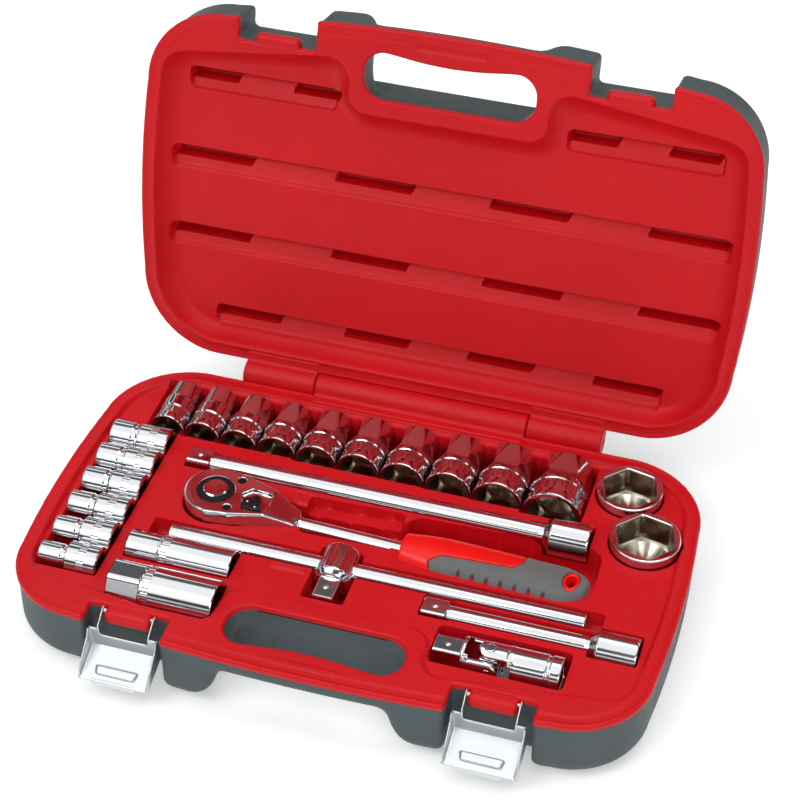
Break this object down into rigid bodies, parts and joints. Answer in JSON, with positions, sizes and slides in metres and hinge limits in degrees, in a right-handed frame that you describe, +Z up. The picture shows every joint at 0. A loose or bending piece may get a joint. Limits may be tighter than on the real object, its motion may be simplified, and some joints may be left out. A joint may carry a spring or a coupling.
{
  "type": "socket wrench set in case",
  "caption": "Hinged double-wall carrying case with fitted tray, latches, sockets, extensions, sliding T-handle, universal joint and reversible ratchet.",
  "frame": {"origin": "centre of the base's underside", "axes": "+X along the case to the right, +Y to the hinge side, +Z up"},
  "size_m": [0.38, 0.3414, 0.2761],
  "materials": {
    "chrome": "mirror chrome plate",
    "steel": "satin",
    "zinc": "satin zinc plate",
    "grey_shell": "fine texture",
    "red_liner": "satin",
    "black": "satin",
    "handle_red": "gloss",
    "soft_grip": "matte"
  },
  "bodies": {
    "base": {"base_shell": "grey_shell", "base_liner": "red_liner", "hinge_pin": "steel"},
    "lid": {"lid_shell": "grey_shell", "lid_liner": "red_liner"},
    "latch_left": {"latch_left": "zinc"},
    "latch_right": {"latch_right": "zinc"},
    "socket_10": {"socket_10": "chrome"},
    "socket_11": {"socket_11": "chrome"},
    "socket_12": {"socket_12": "chrome"},
    "socket_13": {"socket_13": "chrome"},
    "socket_14": {"socket_14": "chrome"},
    "socket_15": {"socket_15": "chrome"},
    "socket_16": {"socket_16": "chrome"},
    "socket_17": {"socket_17": "chrome"},
    "socket_18": {"socket_18": "chrome"},
    "socket_19": {"socket_19": "chrome"},
    "socket_20": {"socket_20": "chrome"},
    "socket_21": {"socket_21": "chrome"},
    "socket_22": {"socket_22": "chrome"},
    "socket_23": {"socket_23": "chrome"},
    "socket_24": {"socket_24": "chrome"},
    "socket_27": {"socket_27": "chrome"},
    "socket_30": {"socket_30": "chrome"},
    "socket_32": {"socket_32": "chrome"},
    "spark_socket_16": {"spark_socket_16": "chrome", "spark_insert_16": "black"},
    "spark_socket_21": {"spark_socket_21": "chrome", "spark_insert_21": "black"},
    "extension_long": {"extension_long": "chrome", "ball_long": "steel"},
    "extension_short": {"extension_short": "chrome", "ball_short": "steel"},
    "tbar_head": {"tbar_head": "chrome", "ball_tbar": "steel"},
    "tbar_bar": {"tbar_bar": "chrome"},
    "ujoint_drive": {"ujoint_drive_fork": "chrome", "ball_ujoint": "steel"},
    "ujoint_cross": {"ujoint_cross": "chrome"},
    "ujoint_socket": {"ujoint_socket_fork": "chrome"},
    "ratchet": {"ratchet_body": "chrome", "ratchet_screws": "black", "ratchet_core": "handle_red", "ratchet_grip": "soft_grip", "ratchet_eyelet": "handle_red"},
    "ratchet_drive": {"ratchet_drive": "chrome", "ratchet_ball": "steel", "ratchet_cover_ring": "black"},
    "ratchet_button": {"ratchet_button": "chrome"},
    "ratchet_lever": {"ratchet_lever": "black", "ratchet_pawl": "steel"}
  },
  "joints": [
    {"name": "lid_hinge", "type": "hinge", "parent": "base", "child": "lid", "pos_m": [0, 0.11915, 0.044], "axis": [-1, 0, 0], "range_deg": [-103, 0]},
    {"name": "latch_left_pivot", "type": "hinge", "parent": "base", "child": "latch_left", "pos_m": [-0.106, -0.10035, 0.0412], "axis": [-1, 0, 0], "range_deg": [0, 130]},
    {"name": "latch_right_pivot", "type": "hinge", "parent": "base", "child": "latch_right", "pos_m": [0.106, -0.10035, 0.0412], "axis": [-1, 0, 0], "range_deg": [0, 130]},
    {"name": "socket_10_lift", "type": "slide", "parent": "base", "child": "socket_10", "axis": [0, 0, 1], "range_m": [0, 0.07]},
    {"name": "socket_11_lift", "type": "slide", "parent": "base", "child": "socket_11", "axis": [0, 0, 1], "range_m": [0, 0.07]},
    {"name": "socket_12_lift", "type": "slide", "parent": "base", "child": "socket_12", "axis": [0, 0, 1], "range_m": [0, 0.07]},
    {"name": "socket_13_lift", "type": "slide", "parent": "base", "child": "socket_13", "axis": [0, 0, 1], "range_m": [0, 0.07]},
    {"name": "socket_14_lift", "type": "slide", "parent": "base", "child": "socket_14", "axis": [0, 0, 1], "range_m": [0, 0.07]},
    {"name": "socket_15_lift", "type": "slide", "parent": "base", "child": "socket_15", "axis": [0, 0, 1], "range_m": [0, 0.07]},
    {"name": "socket_16_lift", "type": "slide", "parent": "base", "child": "socket_16", "axis": [0, 0, 1], "range_m": [0, 0.07]},
    {"name": "socket_17_lift", "type": "slide", "parent": "base", "child": "socket_17", "axis": [0, 0, 1], "range_m": [0, 0.07]},
    {"name": "socket_18_lift", "type": "slide", "parent": "base", "child": "socket_18", "axis": [0, 0, 1], "range_m": [0, 0.07]},
    {"name": "socket_19_lift", "type": "slide", "parent": "base", "child": "socket_19", "axis": [0, 0, 1], "range_m": [0, 0.07]},
    {"name": "socket_20_lift", "type": "slide", "parent": "base", "child": "socket_20", "axis": [0, 0, 1], "range_m": [0, 0.07]},
    {"name": "socket_21_lift", "type": "slide", "parent": "base", "child": "socket_21", "axis": [0, 0, 1], "range_m": [0, 0.07]},
    {"name": "socket_22_lift", "type": "slide", "parent": "base", "child": "socket_22", "axis": [0, 0, 1], "range_m": [0, 0.07]},
    {"name": "socket_23_lift", "type": "slide", "parent": "base", "child": "socket_23", "axis": [0, 0, 1], "range_m": [0, 0.07]},
    {"name": "socket_24_lift", "type": "slide", "parent": "base", "child": "socket_24", "axis": [0, 0, 1], "range_m": [0, 0.07]},
    {"name": "socket_27_lift", "type": "slide", "parent": "base", "child": "socket_27", "axis": [0, 0, 1], "range_m": [0, 0.07]},
    {"name": "socket_30_lift", "type": "slide", "parent": "base", "child": "socket_30", "axis": [0, 0, 1], "range_m": [0, 0.07]},
    {"name": "socket_32_lift", "type": "slide", "parent": "base", "child": "socket_32", "axis": [0, 0, 1], "range_m": [0, 0.07]},
    {"name": "spark_socket_16_lift", "type": "slide", "parent": "base", "child": "spark_socket_16", "axis": [0, 0, 1], "range_m": [0, 0.07]},
    {"name": "spark_socket_21_lift", "type": "slide", "parent": "base", "child": "spark_socket_21", "axis": [0, 0, 1], "range_m": [0, 0.07]},
    {"name": "extension_long_lift", "type": "slide", "parent": "base", "child": "extension_long", "axis": [0, 0, 1], "range_m": [0, 0.07]},
    {"name": "extension_short_lift", "type": "slide", "parent": "base", "child": "extension_short", "axis": [0, 0, 1], "range_m": [0, 0.07]},
    {"name": "tbar_lift", "type": "slide", "parent": "base", "child": "tbar_head", "axis": [0, 0, 1], "range_m": [0, 0.07]},
    {"name": "tbar_bar_slide", "type": "slide", "parent": "tbar_head", "child": "tbar_bar", "axis": [1, 0, 0], "range_m": [-0.01, 0.008]},
    {"name": "ujoint_lift", "type": "slide", "parent": "base", "child": "ujoint_drive", "axis": [0, 0, 1], "range_m": [0, 0.07]},
    {"name": "ujoint_pitch", "type": "hinge", "parent": "ujoint_drive", "child": "ujoint_cross", "pos_m": [0.0955, -0.06885, 0.036], "axis": [0, -1, 0], "range_deg": [0, 45]},
    {"name": "ujoint_yaw", "type": "hinge", "parent": "ujoint_cross", "child": "ujoint_socket", "pos_m": [0.0955, -0.06885, 0.036], "axis": [0, 0, 1], "range_deg": [-3, 3]},
    {"name": "ratchet_lift", "type": "slide", "parent": "base", "child": "ratchet", "axis": [0, 0, 1], "range_m": [0, 0.07]},
    {"name": "ratchet_spin", "type": "hinge", "parent": "ratchet", "child": "ratchet_drive", "pos_m": [-0.0928, 0.00365, 0.044], "axis": [0, 0, 1], "continuous": true},
    {"name": "ratchet_button_press", "type": "slide", "parent": "ratchet_drive", "child": "ratchet_button", "axis": [0, 0, -1], "range_m": [0, 0.0025], "stiffness_N_per_m": 600, "springref_m": -0.002},
    {"name": "ratchet_lever_turn", "type": "hinge", "parent": "ratchet", "child": "ratchet_lever", "pos_m": [-0.06732, 0.00267, 0.044], "axis": [0, 0, 1], "range_deg": [-9, 9]}
  ]
}
